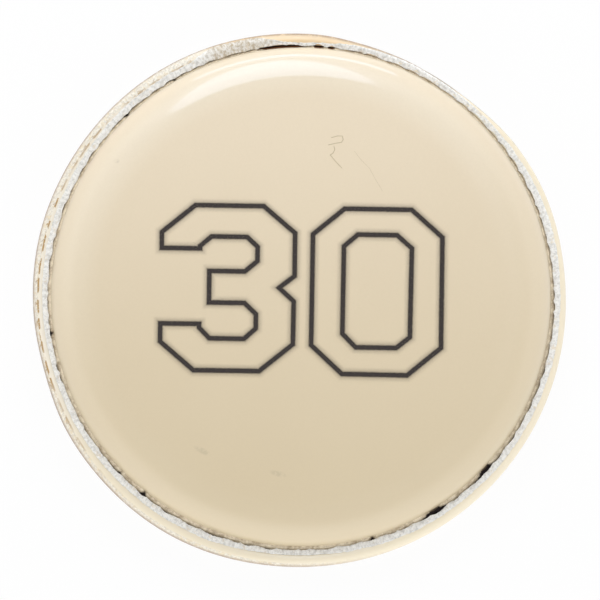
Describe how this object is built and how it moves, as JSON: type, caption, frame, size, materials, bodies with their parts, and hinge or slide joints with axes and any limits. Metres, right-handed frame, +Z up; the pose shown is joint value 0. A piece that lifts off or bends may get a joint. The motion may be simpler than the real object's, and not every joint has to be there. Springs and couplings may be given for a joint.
{
  "type": "dealer button",
  "caption": "Round table button with a domed cream number face, set in a wrapped metal pan whose pleated raw hem shows as a white ring.",
  "frame": {"origin": "centre of the flat land that the button lies on, under the middle of its bounding box", "axes": "+Z up through the middle of the number face, along the button's axis; +Y towards the top of the number; +X to the right of the number"},
  "size_m": [0.058, 0.058, 0.0069],
  "materials": {
    "tinplate": "plain rolled tinplate",
    "cream_wrap": "cream paper under a bonded clear film, white where its raw hem is bare",
    "number_wrap": "cream printed paper under a bonded clear gloss film",
    "board": "grey-brown board"
  },
  "bodies": {
    "root": {"back_shell": "tinplate", "back_wrap": "cream_wrap", "number_shell": "tinplate", "number_wrap": "number_wrap", "collet": "tinplate", "filler": "board"}
  },
  "joints": []
}
